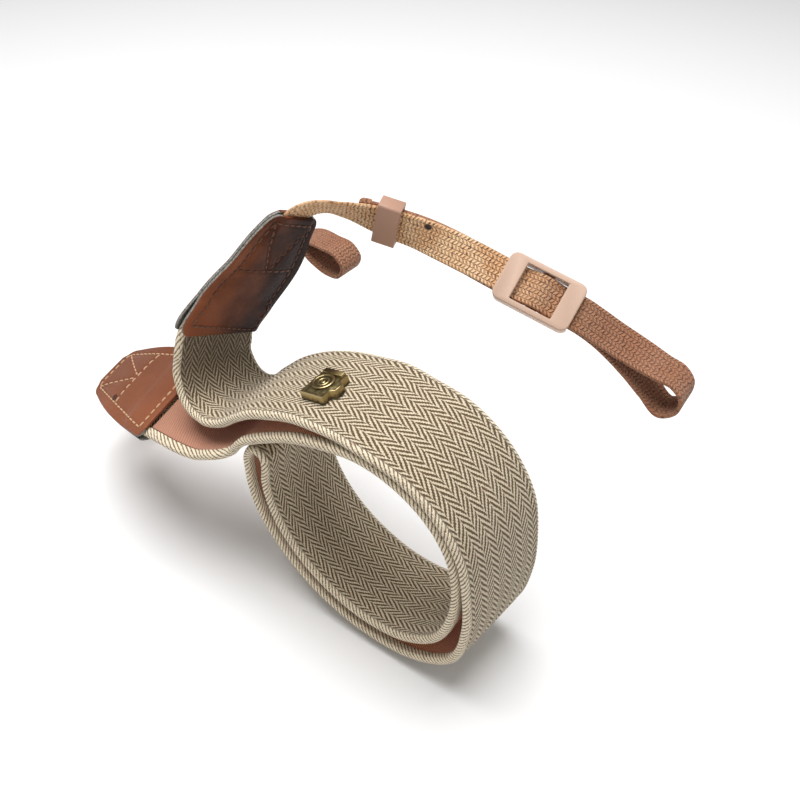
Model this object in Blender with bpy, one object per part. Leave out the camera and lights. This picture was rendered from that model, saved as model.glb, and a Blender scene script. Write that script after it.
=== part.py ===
"""A camera strap worn by a camera: a tweed band folded double round the lens barrel,
with a leather tab, a webbing, a slider and a keeper at each of its two ends.

Metres. The origin is on the barrel's axis, at the middle of the coil's width.
-Y is the barrel's front, +Z is up, and X runs along the camera's width.
"""
import math
from collections import namedtuple

import bmesh
import bpy
import numpy as np
from mathutils import Matrix

CLEARANCE = 0.0003

BAND_WIDTH = 0.038
BAND_THICKNESS = 0.003
BAND_FACE = 0.0014
BAND_HEM = 0.0036
LINING_THICKNESS = 0.0009

COIL_RADIUS = 0.0374
RUN_GAP = 0.0006
FOLD_RADIUS = 0.0036

TAB_LENGTH = 0.0535
TAB_WIDE = 0.042
TAB_NARROW = 0.0225
TAB_CORNER = 0.0035
TAB_BULGE = 0.0021
RIM_SLOPE = 0.7
LEATHER = 0.0012
BAND_TUCK = 0.012
PRESSED = 0.5

WEBBING_WIDTH = 0.0115
WEBBING_THICKNESS = 0.0013
WEBBING_TUCK = 0.027
LAYER_GAP = 0.0004

SLIDER_LENGTH = 0.027
SLIDER_WINDOW = 0.0146
SLIDER_RAIL = 0.0019
SLIDER_BAR = 0.0022
SLIDER_MIDDLE_BAR = 0.004
SLIDER_CORNER = 0.0025
HUMP = 0.0022

KEEPER_LENGTH = 0.008
KEEPER_WALL = 0.0012
KEEPER_ROOM = 0.0007

BADGE_WIDTH = 0.0125
BADGE_LENGTH = 0.0095
BADGE_THICKNESS = 0.003
BADGE_RELIEF = 0.0009
BADGE_HUMP = 0.0019
BADGE_FROM_TAB = 0.086
BADGE_OFF_MIDDLE = 0.0037

LONG_STEP = 0.0062
TURN_STEP = math.radians(15)

# A stop on the strap's route: x and z are shares of COIL_RADIUS and y of BAND_WIDTH.
# The way across the strap has its heading, turn, and its slope, lift, in degrees.
Stop = namedtuple("Stop", "x y z turn lift")

# The lined side of the first tail faces up, from the tab's narrow end to the coil.
TAIL_B = (
    Stop(-3.775, 0.02, -0.318, 1, 18),
    Stop(-3.080, -0.10, -0.040, 1, 19),
    Stop(-2.345, -0.18, 0.130, 0, 16),
    Stop(-2.075, -0.17, 0.070, 0, 5),
    Stop(-1.842, -0.14, 0.045, 0, -1),
    Stop(-1.618, -0.10, 0.130, 0, 0),
    Stop(-1.460, -0.05, 0.240, 0, 1),
    Stop(-1.275, -0.02, 0.450, 0, 2),
    Stop(-1.136, -0.01, 0.556, 0, 3),
    Stop(-0.936, 0.00, 0.684, 0, 4),
    Stop(-0.682, 0.00, 0.826, 0, 5),
)

# The tweed side of the second tail faces up, then in as the tail curls up to its tab.
TAIL_A = (
    Stop(-0.214, 0.02, 1.094, 1, 6),
    Stop(-0.479, 0.03, 1.051, 1, 4),
    Stop(-0.738, 0.04, 0.987, 0, 3),
    Stop(-0.987, 0.04, 0.885, 0, 3),
    Stop(-1.222, 0.04, 0.759, 0, 2),
    Stop(-1.433, 0.05, 0.594, 0, 2),
    Stop(-1.628, 0.05, 0.412, 1, 1),
    Stop(-1.735, 0.05, 0.332, 3, -1),
    Stop(-1.850, 0.06, 0.267, 5, -5),
    Stop(-1.979, 0.07, 0.241, 6, -9),
    Stop(-2.104, 0.09, 0.278, 5, -13),
    Stop(-2.198, 0.12, 0.366, 3, -16),
    Stop(-2.257, 0.15, 0.479, 1, -17),
    Stop(-2.262, 0.19, 0.607, 1, -20),
    Stop(-2.266, 0.23, 0.735, 0, -24),
    Stop(-2.148, 0.44, 1.052, 1, -31),
    Stop(-1.977, 0.64, 1.368, 4, -28),
    Stop(-1.809, 0.76, 1.712, 4, -26),
    Stop(-1.689, 0.86, 1.929, 2, -28),
)

# The coil, clockwise from the top as its front shows it. Both runs are shares of the
# radii that they have where the strap is drawn tight, and flare is how far the band's
# back edge stands out from its front edge, as a share of the width.
Bend = namedtuple("Bend", "angle inner outer flare")
COIL = (
    Bend(112, 1.000, 1.000, 0.08),
    Bend(90, 1.000, 1.000, 0.10),
    Bend(68, 1.000, 1.000, 0.12),
    Bend(45, 1.000, 1.000, 0.12),
    Bend(22, 1.000, 1.000, 0.12),
    Bend(0, 1.005, 1.010, 0.12),
    Bend(-22, 1.065, 1.115, 0.12),
    Bend(-45, 1.180, 1.300, 0.12),
    Bend(-68, 1.225, 1.325, 0.12),
    Bend(-90, 1.190, 1.265, 0.12),
    Bend(-115, 1.135, 1.205, 0.12),
    Bend(-140, 1.110, 1.180, 0.12),
    Bend(-165, 1.107, 1.190, 0.09),
    Bend(-182, 1.107, 1.188, 0.06),
)
FOLD_FLARE = 0.04
FOLD_ANGLE = -194

# The webbings run from their tab's narrow end, out through keeper and slider, round the
# camera's eyelet and back beneath themselves.
WEBBING_A = (
    Stop(-1.605, 0.95, 1.980, 2, -33),
    Stop(-1.505, 1.04, 1.990, 2, -38),
    Stop(-1.372, 1.14, 1.957, 2, -50),
    Stop(-1.178, 1.23, 1.914, 0, -72),
    Stop(-1.010, 1.29, 1.876, 0, -86),
    Stop(-0.810, 1.36, 1.838, 0, -94),
    Stop(-0.524, 1.40, 1.797, 0, -112),
    Stop(-0.278, 1.43, 1.749, 0, -125),
    Stop(0.070, 1.466, 1.671, 0, -137),
    Stop(0.425, 1.511, 1.588, 0, -138),
    Stop(0.700, 1.544, 1.522, 0, -138),
    Stop(0.815, 1.558, 1.494, 0, -139),
    Stop(0.949, 1.61, 1.414, 0, -142),
    Stop(1.096, 1.66, 1.326, 0, -146),
    Stop(1.348, 1.70, 1.227, 0, -154),
    Stop(1.553, 1.70, 1.176, 0, -165),
    Stop(1.706, 1.70, 1.144, 0, -171),
    Stop(1.800, 1.68, 1.060, 0, -175),
    Stop(1.800, 1.67, 0.925, 0, -177),
    Stop(1.682, 1.67, 0.825, 0, -175),
    Stop(1.471, 1.72, 0.925, 0, -168),
    Stop(1.280, 1.72, 1.085, 0, -158),
)
WEBBING_B = (
    Stop(-3.900, 0.05, -0.415, 1, 19),
    Stop(-4.000, 0.13, -0.560, 19, 21),
    Stop(-4.010, 0.28, -0.760, 59, 33),
    Stop(-3.890, 0.52, -0.890, 105, 24),
    Stop(-3.740, 0.82, -0.860, 114, 9),
    Stop(-3.600, 1.12, -0.690, 115, 6),
    Stop(-3.500, 1.36, -0.380, 113, 4),
    Stop(-3.340, 1.58, 0.060, 135, -2),
    Stop(-3.110, 1.685, 0.366, 158, -6),
    Stop(-2.830, 1.72, 0.640, 163, -7),
    Stop(-2.550, 1.755, 0.914, 165, -7),
    Stop(-2.300, 1.75, 1.080, 175, -4),
    Stop(-2.030, 1.70, 1.120, 184, -2),
    Stop(-1.850, 1.69, 1.105, 184, -2),
    Stop(-1.750, 1.68, 1.000, 184, -2),
    Stop(-1.800, 1.68, 0.880, 184, -2),
    Stop(-1.960, 1.70, 0.840, 184, -2),
    Stop(-2.200, 1.72, 0.900, 182, -2),
)

# Where the fittings sit: the stop of the webbing that each is centred on, the number of
# stops that go out, and the free end's distance past the keeper.
Fittings = namedtuple("Fittings", "keeper slider outward free_end")
FITTINGS_A = Fittings(keeper=4, slider=9, outward=17, free_end=0.007)
FITTINGS_B = Fittings(keeper=6, slider=9, outward=13, free_end=0.007)


def material(name, colour, roughness, metallic=0.0):
    """A Principled material of one colour."""
    made = bpy.data.materials.new(name)
    made.use_nodes = True
    shader = made.node_tree.nodes["Principled BSDF"]
    shader.inputs["Base Color"].default_value = (*colour, 1.0)
    shader.inputs["Roughness"].default_value = roughness
    shader.inputs["Metallic"].default_value = metallic
    return made


def stop_row(stop):
    """One row of numbers, x y z turn lift, in metres and degrees."""
    return [stop.x * COIL_RADIUS, stop.y * BAND_WIDTH, stop.z * COIL_RADIUS, stop.turn, stop.lift]


def coil_row(radius, angle, flare, along=0.0):
    """A row on the coil at a radius and an angle, moved along the coil's clockwise way."""
    c, s = math.cos(math.radians(angle)), math.sin(math.radians(angle))
    turn = math.degrees(math.asin(flare * c))
    lift = math.degrees(math.asin(flare * s))
    return [radius * c + along * s, 0.0, radius * s - along * c, turn, lift]


def coil_rows():
    """Inner run clockwise from the top, the fold, and the outer run back to the top."""
    tight_outer = COIL_RADIUS + BAND_THICKNESS + RUN_GAP
    inner = [coil_row(COIL_RADIUS * bend.inner, bend.angle, bend.flare) for bend in COIL]
    outer = [coil_row(tight_outer * bend.outer, bend.angle, bend.flare) for bend in COIL[1:]]
    middle = (COIL_RADIUS * COIL[-1].inner + tight_outer * COIL[-1].outer) / 2
    fold = []
    for quarter in range(5):
        round_angle = math.pi * quarter / 4
        fold.append(coil_row(middle - FOLD_RADIUS * math.cos(round_angle), FOLD_ANGLE, FOLD_FLARE,
                             FOLD_RADIUS * math.sin(round_angle)))
    return inner + fold + outer[::-1]


class Line:
    """A cubic through every row, with its frame of along, across and normal."""

    FINE = 0.0004

    def __init__(self, rows):
        rows = np.array(rows, float)
        chord = np.linalg.norm(np.diff(rows[:, :3], axis=0), axis=1)
        place = np.concatenate([[0.0], np.cumsum(chord)])
        slope = np.diff(rows, axis=0) / chord[:, None]
        tangent = np.empty_like(rows)
        tangent[0], tangent[-1] = slope[0], slope[-1]
        before, after = chord[:-1, None], chord[1:, None]
        tangent[1:-1] = (slope[:-1] * after + slope[1:] * before) / (before + after)
        fine = np.linspace(0.0, place[-1], int(place[-1] / self.FINE) + 2)
        k = np.clip(np.searchsorted(place, fine, side="right") - 1, 0, len(chord) - 1)
        h = chord[k][:, None]
        t = (fine - place[k])[:, None] / h
        self.rows = ((2 * t**3 - 3 * t**2 + 1) * rows[k] + (t**3 - 2 * t**2 + t) * h * tangent[k]
                     + (3 * t**2 - 2 * t**3) * rows[k + 1] + (t**3 - t**2) * h * tangent[k + 1])
        step = np.linalg.norm(np.diff(self.rows[:, :3], axis=0), axis=1)
        self.arc = np.concatenate([[0.0], np.cumsum(step)])
        self.length = self.arc[-1]
        self.stops = np.interp(place, fine, self.arc)
        self.along = np.gradient(self.rows[:, :3], self.arc, axis=0)
        self.along /= np.linalg.norm(self.along, axis=1)[:, None]
        turned = np.linalg.norm(np.gradient(self.along, self.arc, axis=0), axis=1)
        pace = np.maximum(1.0 / LONG_STEP, turned / TURN_STEP)
        middle = (pace[1:] + pace[:-1]) / 2 * step
        self.measure = np.concatenate([[0.0], np.cumsum(middle)])

    def stations(self, first, last):
        """Distances from first to last, closer together where the line bends."""
        low, high = np.interp([first, last], self.arc, self.measure)
        count = max(2, int(math.ceil(high - low)) + 1)
        return np.interp(np.linspace(low, high, count), self.measure, self.arc)

    def frames(self, distances):
        """Point, along, across and normal at each distance."""
        def read(values):
            return np.stack([np.interp(distances, self.arc, v) for v in values.T], axis=1)
        rows, along = read(self.rows), read(self.along)
        along /= np.linalg.norm(along, axis=1)[:, None]
        turn, lift = np.radians(rows[:, 3]), np.radians(rows[:, 4])
        across = np.stack([np.sin(turn) * np.cos(lift), np.cos(turn) * np.cos(lift), np.sin(lift)], 1)
        across -= along * (across * along).sum(1)[:, None]
        across /= np.linalg.norm(across, axis=1)[:, None]
        return rows[:, :3], along, across, np.cross(along, across)


def new_object(name, bm, finish, smooth=30):
    """An object from a bmesh, with its normals out and its flat edges kept sharp."""
    bmesh.ops.recalc_face_normals(bm, faces=bm.faces)
    mesh = bpy.data.meshes.new(name)
    bm.to_mesh(mesh)
    bm.free()
    mesh.materials.append(finish)
    mesh.shade_smooth()
    mesh.set_sharp_from_angle(angle=math.radians(smooth))
    made = bpy.data.objects.new(name, mesh)
    bpy.context.scene.collection.objects.link(made)
    return made


def loft(name, rings, finish):
    """A closed solid through rings of points, with both ends capped."""
    count, size = rings.shape[:2]
    bm = bmesh.new()
    grid = [[bm.verts.new(point) for point in ring] for ring in rings]
    for near, far in zip(grid[:-1], grid[1:]):
        for k in range(size):
            nxt = (k + 1) % size
            bm.faces.new((near[k], near[nxt], far[nxt]))
            bm.faces.new((near[k], far[nxt], far[k]))
    bm.faces.new(grid[0])
    bm.faces.new(grid[-1])
    return new_object(name, bm, finish)


def rings(frames, section):
    """Rings of points from frames and a section of (across, normal) for each frame."""
    point, along, across, normal = frames
    return (point[:, None, :] + section[:, :, 0:1] * across[:, None, :]
            + section[:, :, 1:2] * normal[:, None, :])


def band_section():
    """The face with its edges rolled over into hems on the lined side."""
    half, r = BAND_WIDTH / 2, BAND_THICKNESS / 2
    hem, floor = half - BAND_HEM, BAND_FACE - r
    right = [(half - r + r * math.cos(a), r * math.sin(a))
             for a in np.radians([-90, -45, 0, 45, 90])]
    side = right + [(hem, r), (hem, floor)]
    return np.array(side + [(-u, v) for u, v in side[::-1]])


def lining_section():
    """A flat strip between the two hems."""
    half = BAND_WIDTH / 2 - BAND_HEM - CLEARANCE
    low = BAND_FACE - BAND_THICKNESS / 2 + CLEARANCE
    high = low + LINING_THICKNESS
    return np.array([(half, low), (-half, low), (-half, high), (half, high)])


def webbing_section():
    """Flat webbing with its corners taken off."""
    half, thick = WEBBING_WIDTH / 2, WEBBING_THICKNESS / 2
    cut = thick * 0.6
    side = [(half - cut, -thick), (half, -thick + cut), (half, thick - cut), (half - cut, thick)]
    return np.array(side + [(-u, v) for u, v in side[::-1]])


def tab_half_width(distance):
    """Half the tab's width at a distance from its wide end, without its rounded corners."""
    share = np.clip(distance / TAB_LENGTH, 0.0, 1.0)
    straight = (TAB_WIDE + (TAB_NARROW - TAB_WIDE) * share) / 2
    return straight + TAB_BULGE * np.sin(np.pi * share)


def pressed(inside):
    """How far the band is pressed flat at a distance inside its tab, 1 where it is free."""
    return 1.0 - (1.0 - PRESSED) * np.clip(inside / BAND_TUCK, 0.0, 1.0)


def make_band(line, tab_b, tab_a, cloth, lining_cloth):
    """The band runs from inside the first tab to inside the second, pressed flat in both."""
    free = line.stations(tab_b + CLEARANCE, tab_a - CLEARANCE)
    before = np.linspace(tab_b - BAND_TUCK, tab_b, 4)
    after = np.linspace(tab_a, tab_a + BAND_TUCK, 4)
    at = np.concatenate([before, free, after])
    inside = np.maximum(np.maximum(tab_b - at, at - tab_a), 0.0)
    room = (tab_half_width(inside) - TAB_CORNER / 2) / (BAND_WIDTH / 2)
    narrow = np.where(inside > 0, np.minimum(1.0, room), 1.0)
    scale = np.stack([narrow, pressed(inside)], axis=1)[:, None, :]
    loft("band_face", rings(line.frames(at), band_section()[None] * scale), cloth)
    section = np.repeat(lining_section()[None], len(free), axis=0)
    loft("band_lining", rings(line.frames(free), section), lining_cloth)


def make_tab(name, line, mouth, way, side, leather):
    """One leather of a tab, on one side of the band, from its mouth to its narrow end.

    way is +1 where the narrow end lies further along the line, side +1 on the lined side.
    """
    corner = TAB_CORNER * (1 - np.cos(np.radians([0, 35, 65, 90])))
    middle = np.linspace(TAB_CORNER, TAB_LENGTH - TAB_CORNER, 9)
    inside = np.concatenate([corner[:-1], middle, TAB_LENGTH - corner[:-1][::-1]])
    end = np.minimum(inside, TAB_LENGTH - inside)
    rounding = TAB_CORNER - np.sqrt(np.maximum(TAB_CORNER**2 - np.maximum(TAB_CORNER - end, 0)**2, 0))
    half = tab_half_width(inside) - rounding
    band_room = BAND_THICKNESS / 2 * pressed(inside) + 2 * CLEARANCE
    web_room = WEBBING_THICKNESS / 2 + CLEARANCE
    pinch = np.clip((inside - BAND_TUCK - CLEARANCE) / (BAND_TUCK / 2), 0.0, 1.0)
    middle_room = np.where(inside > BAND_TUCK + CLEARANCE, web_room, band_room)
    middle_room = np.maximum(middle_room, web_room)
    side_room = middle_room * (1 - pinch) + CLEARANCE / 2 * pinch
    band_half = np.minimum(BAND_WIDTH / 2, tab_half_width(inside) - TAB_CORNER / 2)
    shut = RIM_SLOPE * np.maximum(half - band_half, 0.0)
    rim_room = np.maximum(side_room - shut, CLEARANCE / 2)
    flat = np.full_like(half, WEBBING_WIDTH / 2 + CLEARANCE)
    inner = [(half, rim_room), (half * 0.84, side_room), (flat, middle_room)]
    inner = inner + [(-u, room) for u, room in inner[::-1]]
    inner_u = np.stack([u for u, room in inner], 1)
    inner_v = np.stack([room for u, room in inner], 1)
    ring_u = np.concatenate([inner_u, inner_u[:, ::-1]], axis=1)
    ring_v = np.concatenate([inner_v, inner_v[:, ::-1] + LEATHER], axis=1)
    section = np.stack([ring_u, side * ring_v], axis=2)
    return loft(name, rings(line.frames(mouth + way * inside), section), leather)


def offset_rows(line, distances, rise):
    """Rows of a layer that runs back beside the line, on the normal's side."""
    point, along, across, normal = line.frames(distances)
    turn = np.interp(distances, line.arc, line.rows[:, 3])
    lift = np.interp(distances, line.arc, line.rows[:, 4])
    return np.column_stack([point + normal * rise, turn, lift]).tolist()


def hump(frames, centre, length_way, out_way):
    """Lift the layers over the slider's middle bar, in the length of its window."""
    point = frames[0]
    x = (point - centre) @ length_way
    near = np.linalg.norm(point - centre, axis=1) < SLIDER_WINDOW
    wave = HUMP * np.cos(np.pi * np.clip(x / SLIDER_WINDOW, -0.5, 0.5))**2
    return (point + np.where(near, wave, 0.0)[:, None] * out_way, *frames[1:])


def make_webbing(letter, tuck_rows, stops, fittings, webbing, plastic):
    """A webbing out of its tab, through keeper and slider, round an eyelet and back."""
    pitch = WEBBING_THICKNESS + LAYER_GAP
    out = tuck_rows + [stop_row(stop) for stop in stops[:fittings.outward]]
    main = Line(out)
    first = len(tuck_rows)
    keeper_at = main.stops[first + fittings.keeper]
    slider_at = main.stops[first + fittings.slider]
    free = keeper_at - KEEPER_LENGTH / 2 - fittings.free_end
    back_from = slider_at + SLIDER_LENGTH * 0.75
    back = np.linspace(back_from, free, int((back_from - free) / LONG_STEP) + 2)
    loop = [stop_row(stop) for stop in stops[fittings.outward:]]
    whole = Line(out + loop + offset_rows(main, back, pitch))
    at = whole.stations(0.0, whole.length)
    window = np.linspace(-0.5, 0.5, 9) * SLIDER_WINDOW
    loop_end = whole.stops[len(out) + len(loop)]
    return_at = loop_end + (back_from - slider_at)
    at = np.unique(np.concatenate([at, slider_at + window, return_at + window]))
    at = at[np.concatenate([[True], np.diff(at) > CLEARANCE])]
    point, along, across, normal = [part[0] for part in main.frames(np.array([slider_at]))]
    section = np.repeat(webbing_section()[None], len(at), axis=0)
    frames = hump(whole.frames(at), point, along, -normal)
    loft("webbing_" + letter, rings(frames, section), webbing)
    make_slider("slider_" + letter, point, along, across, normal, plastic)
    keeper = [part[0] for part in main.frames(np.array([keeper_at]))]
    make_keeper("keeper_" + letter, *keeper, plastic)


def box(bm, low, high):
    """A box between two corners, in the piece's own frame."""
    made = bmesh.ops.create_cube(bm, size=1.0)["verts"]
    size = [b - a for a, b in zip(low, high)]
    centre = [(a + b) / 2 for a, b in zip(low, high)]
    bmesh.ops.scale(bm, vec=size, verts=made)
    bmesh.ops.translate(bm, vec=centre, verts=made)
    return made


def rounded_plate(bm, length, width, low, high, corner):
    """A plate with rounded corners, between two heights."""
    outline = []
    for cx, cy, start in ((1, 1, 0), (-1, 1, 90), (-1, -1, 180), (1, -1, 270)):
        for angle in (start, start + 30, start + 60, start + 90):
            outline.append((cx * (length / 2 - corner) + corner * math.cos(math.radians(angle)),
                            cy * (width / 2 - corner) + corner * math.sin(math.radians(angle))))
    bottom = bm.faces.new([bm.verts.new((x, y, low)) for x, y in outline])
    raised = bmesh.ops.extrude_face_region(bm, geom=[bottom])["geom"]
    top = [item for item in raised if isinstance(item, bmesh.types.BMVert)]
    bmesh.ops.translate(bm, vec=(0, 0, high - low), verts=top)


def cut(target, name, boxes):
    """Cut boxes out of a piece, with cutters that stay hidden."""
    for number, (low, high) in enumerate(boxes):
        bm = bmesh.new()
        box(bm, low, high)
        cutter = new_object(f"{name}_cutter_{number}", bm, target.data.materials[0])
        cutter.hide_render = True
        cutter.display_type = "WIRE"
        cutter.matrix_world = target.matrix_world
        modifier = target.modifiers.new(cutter.name, "BOOLEAN")
        modifier.operation = "DIFFERENCE"
        modifier.solver = "EXACT"
        modifier.object = cutter


def placed(point, along, across, up):
    """The matrix of a piece whose X, Y and Z are along, across and up."""
    turned = Matrix.Identity(4)
    for row in range(3):
        turned[row][0], turned[row][1], turned[row][2] = along[row], across[row], up[row]
        turned[row][3] = point[row]
    return turned


def make_slider(name, point, along, across, normal, plastic):
    """A slider: two outer bars over the layers, a middle bar under them, and two rails."""
    pitch = WEBBING_THICKNESS + LAYER_GAP
    slot = WEBBING_WIDTH / 2 + 2 * CLEARANCE
    bar_under = WEBBING_THICKNESS / 2 + CLEARANCE
    bar_top = bar_under + SLIDER_BAR
    layers_low = -(pitch + WEBBING_THICKNESS / 2)
    share = SLIDER_MIDDLE_BAR / SLIDER_WINDOW
    raised = HUMP * math.cos(math.pi * share / 2)**2
    middle_top = layers_low + raised - CLEARANCE
    base = middle_top - SLIDER_BAR * 0.7
    bm = bmesh.new()
    rounded_plate(bm, SLIDER_LENGTH, 2 * (slot + SLIDER_RAIL), base, bar_top, SLIDER_CORNER)
    slider = new_object(name, bm, plastic)
    slider.matrix_world = placed(point, along, -across, -normal)
    far, over, half_bar = SLIDER_LENGTH, SLIDER_LENGTH / 2, SLIDER_MIDDLE_BAR / 2
    cut(slider, name, (
        ((-SLIDER_WINDOW / 2, -slot, middle_top), (SLIDER_WINDOW / 2, slot, over)),
        ((-far, -slot, middle_top), (far, slot, bar_under)),
        ((half_bar, -slot, -over), (far, slot, middle_top + CLEARANCE)),
        ((-far, -slot, -over), (-half_bar, slot, middle_top + CLEARANCE)),
    ))
    return slider


def make_keeper(name, point, along, across, normal, plastic):
    """A plain box loop round both layers of the webbing."""
    pitch = WEBBING_THICKNESS + LAYER_GAP
    half_y = WEBBING_WIDTH / 2 + 2 * CLEARANCE
    half_z = pitch / 2 + WEBBING_THICKNESS / 2 + KEEPER_ROOM
    bm = bmesh.new()
    rounded_plate(bm, 2 * (half_y + KEEPER_WALL), 2 * (half_z + KEEPER_WALL),
                  -KEEPER_LENGTH / 2, KEEPER_LENGTH / 2, KEEPER_WALL * 0.7)
    keeper = new_object(name, bm, plastic)
    keeper.matrix_world = placed(point + normal * pitch / 2, across, normal, along)
    cut(keeper, name, (((-half_y, -half_z, -KEEPER_LENGTH), (half_y, half_z, KEEPER_LENGTH)),))
    return keeper


def make_badge(line, tab_a, brass):
    """A small brass stud shaped like a camera, riveted to the tweed side of the band."""
    point, along, across, normal = [part[0] for part in line.frames(np.array([tab_a - BADGE_FROM_TAB]))]
    point = point - across * BADGE_OFF_MIDDLE
    seat = BAND_THICKNESS / 2 + CLEARANCE
    top = seat + BADGE_THICKNESS
    half_l, half_w = BADGE_LENGTH / 2, BADGE_WIDTH / 2
    outline = [(-half_l, half_w), (-half_l, -half_w), (half_l, -half_w),
               (half_l, -half_w * 0.45), (half_l + BADGE_HUMP, -half_w * 0.28),
               (half_l + BADGE_HUMP, half_w * 0.28), (half_l, half_w * 0.45), (half_l, half_w)]
    bm = bmesh.new()
    bottom = bm.faces.new([bm.verts.new((x, y, seat)) for x, y in outline])
    raised = bmesh.ops.extrude_face_region(bm, geom=[bottom])["geom"]
    bmesh.ops.translate(bm, vec=(0, 0, BADGE_THICKNESS),
                        verts=[item for item in raised if isinstance(item, bmesh.types.BMVert)])
    badge = new_object("badge", bm, brass)
    badge.matrix_world = placed(point, -along, across, -normal)
    lens = BADGE_WIDTH * 0.31
    sides, relief, sunk = 20, BADGE_RELIEF, BADGE_THICKNESS / 2
    profile = ((lens, -sunk), (lens, 0.8), (0.86, 1.0), (0.74, 1.0), (0.66, 0.3), (0.54, 0.3),
               (0.46, 0.8), (0.34, 0.8), (0.26, 0.3), (0.0, 0.5))
    bm = bmesh.new()
    ring = []
    for share, height in profile:
        radius = lens if share == lens else share * lens
        z = top + (height if height < 0 else height * relief)
        ring.append((radius, z))
    rows = []
    for radius, z in ring[:-1]:
        rows.append([bm.verts.new((radius * math.cos(2 * math.pi * k / sides),
                                   radius * math.sin(2 * math.pi * k / sides), z))
                     for k in range(sides)])
    tip = bm.verts.new((0, 0, ring[-1][1]))
    for low, high in zip(rows[:-1], rows[1:]):
        for k in range(sides):
            nxt = (k + 1) % sides
            bm.faces.new((low[k], low[nxt], high[nxt], high[k]))
    for k in range(sides):
        bm.faces.new((rows[-1][k], rows[-1][(k + 1) % sides], tip))
    bm.faces.new(rows[0])
    join(badge, "badge_lens", bm)
    bm = bmesh.new()
    box(bm, (-half_l * 0.8, half_w * 0.62, seat + sunk), (half_l * 0.9, half_w * 0.97, top + relief))
    join(badge, "badge_grip", bm)
    return badge


def join(target, name, bm):
    """Make a shape one with a piece, by a union with a hidden solid."""
    added = new_object(name, bm, target.data.materials[0])
    added.matrix_world = target.matrix_world
    added.hide_render = True
    added.display_type = "WIRE"
    modifier = target.modifiers.new(name, "BOOLEAN")
    modifier.operation = "UNION"
    modifier.solver = "EXACT"
    modifier.object = added


def inside_tab(line, end, way):
    """Rows of the webbing's stretch between the two leathers, from its inner end outwards."""
    depths = np.linspace(WEBBING_TUCK, 0.0, 6)
    point, along, across, normal = line.frames(end - way * depths)
    turn = np.interp(end - way * depths, line.arc, line.rows[:, 3])
    lift = np.interp(end - way * depths, line.arc, line.rows[:, 4])
    return np.column_stack([point, turn, lift]).tolist()


def build():
    """Make every piece of the strap."""
    for old in list(bpy.data.objects):
        bpy.data.objects.remove(old)
    tweed = material("tweed", (0.52, 0.45, 0.34), 0.95)
    lining = material("lining", (0.36, 0.15, 0.09), 0.85)
    leather = material("leather", (0.25, 0.10, 0.055), 0.55)
    webbing = material("webbing", (0.50, 0.27, 0.14), 0.8)
    plastic = material("plastic", (0.45, 0.27, 0.18), 0.45)
    brass = material("antique_brass", (0.30, 0.23, 0.10), 0.4, 1.0)

    rows = [stop_row(stop) for stop in TAIL_B] + coil_rows() + [stop_row(stop) for stop in TAIL_A]
    line = Line(rows)
    end_b, end_a = 0.0, line.length
    tab_b, tab_a = end_b + TAB_LENGTH, end_a - TAB_LENGTH
    make_band(line, tab_b, tab_a, tweed, lining)
    for letter, mouth, way in (("a", tab_a, 1), ("b", tab_b, -1)):
        make_tab(f"tab_{letter}_front", line, mouth, way, -1, leather)
        make_tab(f"tab_{letter}_back", line, mouth, way, 1, leather)
    make_webbing("a", inside_tab(line, end_a, 1), WEBBING_A, FITTINGS_A, webbing, plastic)
    make_webbing("b", inside_tab(line, end_b, -1), WEBBING_B, FITTINGS_B, webbing, plastic)
    make_badge(line, tab_a, brass)


build()
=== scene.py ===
"""The coiled camera strap, dressed: tweed band, ribbed lining, stitched leathers, woven
webbing, moulded sliders and keepers, and a brass stud. Sizes are in millimetres unless a
comment says otherwise, and MM brings each mesh to metres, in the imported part's frame."""
import math

import bmesh
import bpy
import numpy as np
from mathutils import Matrix, Vector


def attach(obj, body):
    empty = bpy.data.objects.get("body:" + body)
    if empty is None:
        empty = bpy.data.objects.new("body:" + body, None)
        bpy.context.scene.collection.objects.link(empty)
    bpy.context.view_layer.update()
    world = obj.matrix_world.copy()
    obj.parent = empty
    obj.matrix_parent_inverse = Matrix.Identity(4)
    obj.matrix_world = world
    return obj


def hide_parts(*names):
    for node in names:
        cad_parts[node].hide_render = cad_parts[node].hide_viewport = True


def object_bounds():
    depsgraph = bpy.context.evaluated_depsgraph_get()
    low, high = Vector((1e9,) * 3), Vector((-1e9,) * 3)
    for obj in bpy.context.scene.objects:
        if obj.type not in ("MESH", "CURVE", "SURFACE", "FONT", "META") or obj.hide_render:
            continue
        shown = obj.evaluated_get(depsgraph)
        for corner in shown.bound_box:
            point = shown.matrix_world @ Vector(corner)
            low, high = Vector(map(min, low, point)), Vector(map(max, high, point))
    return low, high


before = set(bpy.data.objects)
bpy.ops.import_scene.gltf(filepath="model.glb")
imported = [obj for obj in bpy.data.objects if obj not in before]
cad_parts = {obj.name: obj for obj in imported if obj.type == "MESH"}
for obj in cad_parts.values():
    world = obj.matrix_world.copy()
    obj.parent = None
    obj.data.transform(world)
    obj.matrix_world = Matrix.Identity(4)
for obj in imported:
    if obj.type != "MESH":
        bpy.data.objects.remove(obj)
cad_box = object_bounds()

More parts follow.
